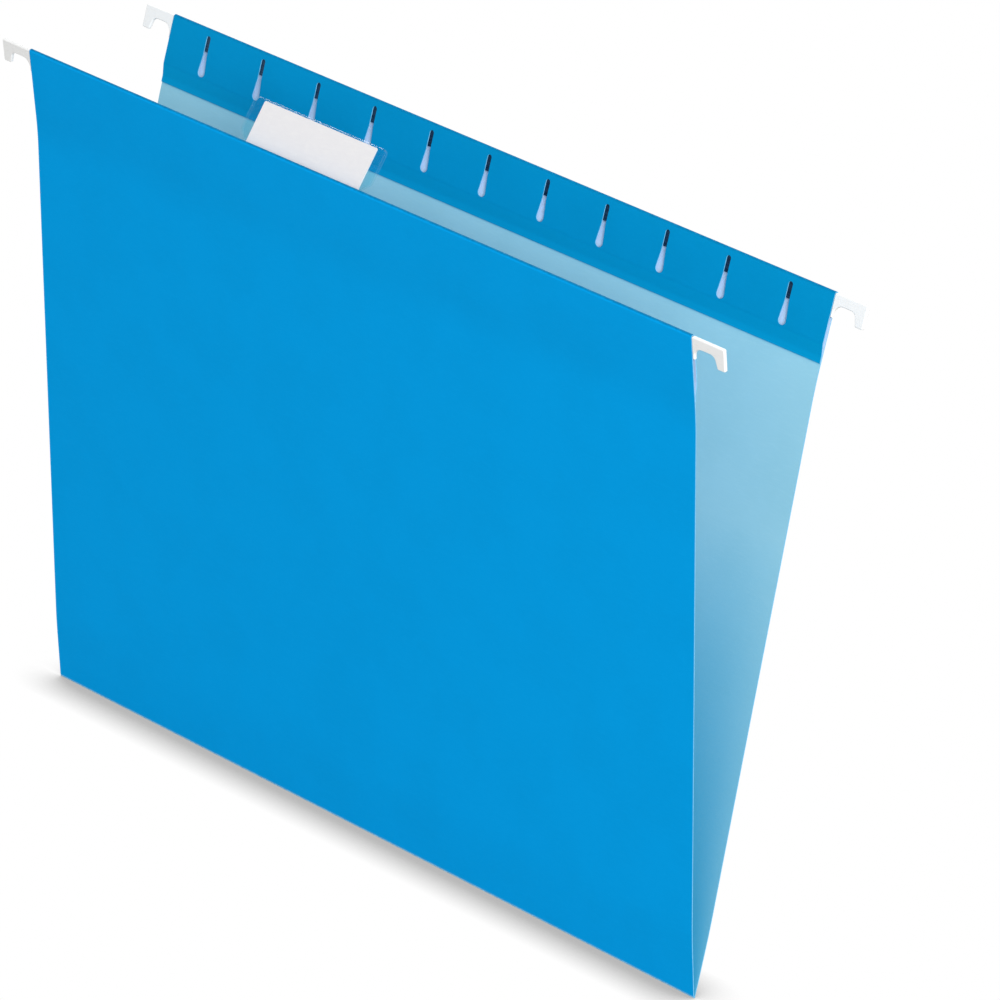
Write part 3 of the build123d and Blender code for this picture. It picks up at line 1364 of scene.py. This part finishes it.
@dataclass
class IndexTab:
    """Clear tab: a base behind the flap, a sloping window, a back leaf with a lip, and two ears."""

    place: LeafPlace
    materials: Sequence[bpy.types.Material]
    tab: TabSizes = field(default_factory=TabSizes)

    def build(self) -> bpy.types.Object:
        """Builds the tab and ties it to the frame.

        Returns:
            The finished piece.
        """
        tab = self.tab
        start = Vector((0, tab.back, tab.ear_bottom))
        sheet = BentSheet(tab.neck_half, start, 0.0, tab.columns)
        sheet.run(tab.ear_top - tab.ear_bottom)
        sides = self._side_edges(sheet.bm)
        trim = Fold(0.0, tab.turn, tab.bend_radius).trim
        sheet.run(tab.bend_level - tab.ear_top - trim)
        sheet.bend(-tab.turn, tab.bend_radius)
        heights = [trim, *self._window_rows()]
        self._grow(sheet, heights)
        self._fold_roof(sheet)
        lip_trim = Fold(0.0, QUARTER, tab.lip_gap).trim
        self._grow(sheet, [*reversed(heights[1:]), tab.lip_height + lip_trim])
        sheet.bend(-QUARTER, tab.lip_gap)
        sheet.run(tab.pocket_gap - 2 * tab.lip_gap)
        self._grow_ears(sheet.bm, sides)
        near, far, rim = sheet.thicken(tab.sheet)
        for face in near + far:
            face.material_index = SheetFace.CLEAR
        for face in rim:
            face.material_index = SheetFace.RIM
        bm = sheet.bm
        bm.transform(self.place.hem_frame @ Matrix.Translation((tab.centre, 0, 0)))
        piece = new_piece("clear_index_tab", bm, self.materials)
        settle(piece, "tab", "index_tab")
        self._let_light_through(piece)
        return piece

    def _let_light_through(self, piece: bpy.types.Object) -> None:
        """Keeps the clear sheet from shading what lies behind it."""
        piece.visible_shadow = False
        piece.visible_diffuse = False

    def _half_width(self, height: float) -> float:
        """Half width of the tab's outline.

        Args:
            height: Height up the window from the bend.

        Returns:
            The half width there.
        """
        tab = self.tab
        radius = tab.corner_radius
        low_start, low_end = tab.low_round
        high_start, _ = tab.high_round
        if height <= tab.shoulder:
            return tab.neck_half
        if height <= low_start:
            return tab.neck_half + height - tab.shoulder
        below = max(0.0, low_end - height)
        above = max(0.0, height - high_start)
        return tab.wing_half - radius + math.sqrt(radius**2 - min(radius, max(below, above)) ** 2)

    def _window_rows(self) -> list[float]:
        """Heights up the window at which the outline bends.

        Returns:
            The heights in order.
        """
        steps = self.tab.corner_steps
        rows = [self.tab.shoulder]
        for start, end in (self.tab.low_round, self.tab.high_round):
            rows += [start + (end - start) * step / steps for step in range(steps + 1)]
        return rows

    def _grow(self, sheet: BentSheet, heights: Sequence[float]) -> None:
        """Grows the sheet through several rows, each as wide as the outline there.

        Args:
            sheet: The sheet, which has reached the first height.
            heights: Heights of the rows, up or down the window.
        """
        for here, there in zip(heights, heights[1:]):
            sheet.run(abs(there - here))
            sheet.widen(self._half_width(there))

    def _fold_roof(self, sheet: BentSheet) -> None:
        """Folds the sheet over at the top of the window, narrower towards the crest.

        Args:
            sheet: The sheet, which has reached the top.
        """
        tab = self.tab
        steps = 2 * tab.corner_steps
        for step in range(1, steps + 1):
            if step == tab.corner_steps + 1:
                sheet.run(tab.pocket_gap - 2 * tab.roof_radius)
            sheet.bend(-math.pi / steps, tab.roof_radius, 1)
            crest = math.sin(math.pi * step / steps) * (tab.roof_radius + tab.sheet)
            sheet.widen(self._half_width(tab.pocket_top - tab.roof_radius + crest))

    def _side_edges(self, bm: BMesh) -> list[BMEdge]:
        """The two upright side edges of the mesh so far."""
        reach = self.tab.neck_half - TINY
        return [edge for edge in bm.edges if all(abs(vert.co.x) > reach for vert in edge.verts)]

    def _grow_ears(self, bm: BMesh, sides: Sequence[BMEdge]) -> None:
        """Grows an ear from each side edge, through its slit and outwards behind the flap.

        Args:
            bm: Mesh of the tab.
            sides: The side edges.
        """
        tab = self.tab
        for side in sides:
            edges = [side]
            corners: list[BMVert] = []
            outwards = math.copysign(tab.ear_reach, side.verts[0].co.x)
            for step in (Vector((0, -tab.ear_depth, 0)), Vector((outwards, 0, 0))):
                corners, edges = extrude_edges(bm, edges, step)
            for corner in corners:
                round_off(bm, [corner], tab.ear_radius, tab.corner_steps)


@dataclass
class PaperLabel:
    """Blank paper label in the tab's pocket."""

    place: LeafPlace
    materials: Sequence[bpy.types.Material]
    tab: TabSizes = field(default_factory=TabSizes)
    label: LabelSizes = field(default_factory=LabelSizes)

    def build(self) -> bpy.types.Object:
        """Builds the label and ties it to the frame.

        Returns:
            The finished piece.
        """
        label = self.label
        half = label.width / 2
        top = label.foot + label.height
        bm = bmesh.new()
        front = self.tab.pocket_gap / 2 - label.thickness / 2
        outline = [(-half, label.foot), (half, label.foot), (half, top), (-half, top)]
        for corner in flat_plate(bm, outline, front):
            round_off(bm, [corner], label.corner, label.corner_steps)
        extrude_plate(bm, label.thickness)
        rims = [edge for edge in bm.edges if edge.calc_face_angle(0.0) > label.rim_angle]
        round_off(bm, rims, label.rim, label.rim_steps)
        bm.transform(self._frame())
        piece = new_piece("paper_label", bm, self.materials)
        settle(piece, "label", "label_insert")
        keep_flats(piece)
        return piece

    def _frame(self) -> Matrix:
        """Frame of the tab's window.

        Returns:
            The frame, in which Z runs up the window from the bend and Y points to its back.
        """
        tab = self.tab
        seat = Matrix.Translation((tab.centre, tab.back, tab.bend_level))
        return self.place.hem_frame @ seat @ Matrix.Rotation(-tab.turn, 4, "X")


@dataclass
class KeptNodes:
    """Nodes of the frame that keep their own shape and get a finish."""

    material: bpy.types.Material
    names: Sequence[str]

    def dress(self) -> None:
        """Puts the material into the nodes' material slots."""
        for name in self.names:
            node = frame["nodes"][name]
            if not node.material_slots:
                node.data.materials.append(self.material)
            for material_slot in node.material_slots:
                material_slot.material = self.material
            log.info("%s keeps its shape, in %s", name, self.material.name)


@dataclass(frozen=True)
class SoftLamp:
    """A square area lamp that shines on one point."""

    name: str
    place: Vector
    target: Vector
    side: float
    power: float

    def build(self) -> None:
        """Adds the lamp to the scene."""
        data = bpy.data.lights.new(self.name, "AREA")
        data.shape = "SQUARE"
        data.size = self.side
        data.energy = self.power
        lamp = add_to_scene(self.name, data)
        lamp.location = self.place
        lamp.rotation_mode = "QUATERNION"
        lamp.rotation_quaternion = (self.target - self.place).to_track_quat("-Z", "Y")


@dataclass
class Studio:
    """Pale floor, white surroundings, soft lamps and the camera."""

    floor_level: float
    floor_side: float = 8.0
    floor_tone: Colour = (0.30, 0.285, 0.265, 1.0)
    contact_reach: float = 17 * MM
    contact_samples: int = 8
    contact_openness: float = 0.5
    contact_shade: float = 0.48
    sky_at_horizon: float = 0.8
    sky_overhead: float = 0.47
    azimuth: float = math.radians(42.7924)
    elevation: float = math.radians(22.6600)
    roll: float = math.radians(5.1659)
    camera_place: Vector = field(default_factory=lambda: Vector((1.517476, -1.588831, 0.809420)))
    lens: float = 265.84
    sensor: float = 36.0
    nearest: float = 50 * MM
    lamps: Sequence[SoftLamp] = (
        SoftLamp("key_lamp", Vector((3.065, -1.990, 1.527)), Vector((0, 0, -0.1)), 1.7, 165.0),
        SoftLamp("back_lamp", Vector((-1.2, 1.6, 0.7)), Vector((0, 0, -0.1)), 1.2, 16.0),
    )

    def build(self) -> None:
        """Builds the studio."""
        self._floor()
        self._world()
        for lamp in self.lamps:
            lamp.build()
        self._camera()
        bpy.context.scene.view_settings.view_transform = "Standard"

    def _floor(self) -> None:
        """Wide pale floor just under the fold, shaded close to the folder.

        To the eye it is clear over the white surroundings, and light passes down through it, so that a leaf
        that swings below it stays in sight.
        """
        board = NodeBoard(bpy.data.materials.new("floor_pale"))
        lit = board.add("ShaderNodeBsdfDiffuse", {"Color": self.floor_tone})
        openness = board.openness(self.contact_reach, self.contact_samples)
        shade = board.fade(openness, self.contact_shade, 1.0, self.contact_openness)
        shaded = board.add("ShaderNodeBsdfTransparent", {"Color": shade})
        floor_seen = board.mix(board.rays_that_show(), lit, shaded)
        lamp_rays = board.add("ShaderNodeLightPath").outputs["Is Shadow Ray"]
        below = board.add("ShaderNodeNewGeometry").outputs["Backfacing"]
        passed = board.add("ShaderNodeBsdfTransparent")
        shader = board.mix(board.calculate("MAXIMUM", lamp_rays, below), floor_seen, passed)
        bm = bmesh.new()
        place = Matrix.Translation((0, 0, self.floor_level))
        bmesh.ops.create_grid(bm, x_segments=1, y_segments=1, size=self.floor_side / 2, matrix=place)
        floor = new_piece("studio_floor", bm, [board.finish(shader)])

    def _world(self) -> None:
        """White surroundings to the eye, in gloss and through clear sheet, and a soft fill from above."""
        board = NodeBoard(bpy.data.worlds.new("studio_white"))
        up = board.along("Z", "Generated")
        fill = board.fade(up, self.sky_at_horizon, self.sky_overhead)
        from_above = board.calculate("MULTIPLY", fill, board.calculate("GREATER_THAN", up))
        strength = board.fade(board.rays_that_show(), from_above, 1.0)
        background = board.add("ShaderNodeBackground", {"Color": WHITE, "Strength": strength})
        bpy.context.scene.world = board.finish(background)

    def _camera(self) -> None:
        """Camera at the photograph's viewing angle."""
        data = bpy.data.cameras.new("camera")
        data.sensor_width = self.sensor
        data.lens = self.lens
        data.clip_start = self.nearest
        camera = add_to_scene("camera", data)
        camera.rotation_mode = "QUATERNION"
        level = Euler((QUARTER - self.elevation, 0.0, self.azimuth)).to_matrix()
        camera.rotation_quaternion = (level @ Matrix.Rotation(self.roll, 3, "Z")).to_quaternion()
        camera.location = self.camera_place
        bpy.context.scene.camera = camera


@dataclass
class HangingFolder:
    """The whole folder."""

    finishes: FolderFinishes = field(default_factory=FolderFinishes)
    card: CardSizes = field(default_factory=CardSizes)
    hem: HemSizes = field(default_factory=HemSizes)

    def build(self) -> list[bpy.types.Object]:
        """Builds every piece.

        Returns:
            The new pieces.
        """
        fold_joint = next(joint for joint in frame["joints"] if joint["name"] == "bottom_fold")
        fold = Vector(fold_joint["pos_m"])
        places = {side: LeafPlace(side, fold, self.card, self.hem) for side in LeafSide}
        finishes = self.finishes
        card_finishes = {
            CardFace.OUTSIDE: finishes.outside,
            CardFace.INSIDE: finishes.inside,
            CardFace.CUT: finishes.cut,
            CardFace.HEM_LINING: finishes.hem_lining,
            CardFace.FLAP_PAINTED_SHADE: finishes.flap_painted_shade,
        }
        card_slots = [card_finishes[face].material() for face in CardFace]
        coating = finishes.coating.material()
        pieces: list[bpy.types.Object] = []
        for place in places.values():
            pieces.append(CardLeaf(place, card_slots).build())
            for end in RodEnd:
                pieces.append(HookCoating(place, end, coating).build())
        front = places[LeafSide.FRONT]
        clear_slots = [finishes.clear.material(), finishes.rim.material()]
        pieces.append(IndexTab(front, clear_slots).build())
        pieces.append(PaperLabel(front, [finishes.label.material()]).build())
        KeptNodes(finishes.steel.material(), ("front_rod", "rear_rod")).dress()
        KeptNodes(finishes.glue.material(), ("front_glue_line", "rear_glue_line")).dress()
        return pieces


def main() -> None:
    """Builds the folder and its studio."""
    logging.basicConfig(level=logging.INFO, format="%(name)s: %(message)s")
    pieces = HangingFolder().build()
    Studio(floor_level=cad_box[0].z).build()
    log.info("%d new pieces", len(pieces))


if __name__ == "__main__":
    main()
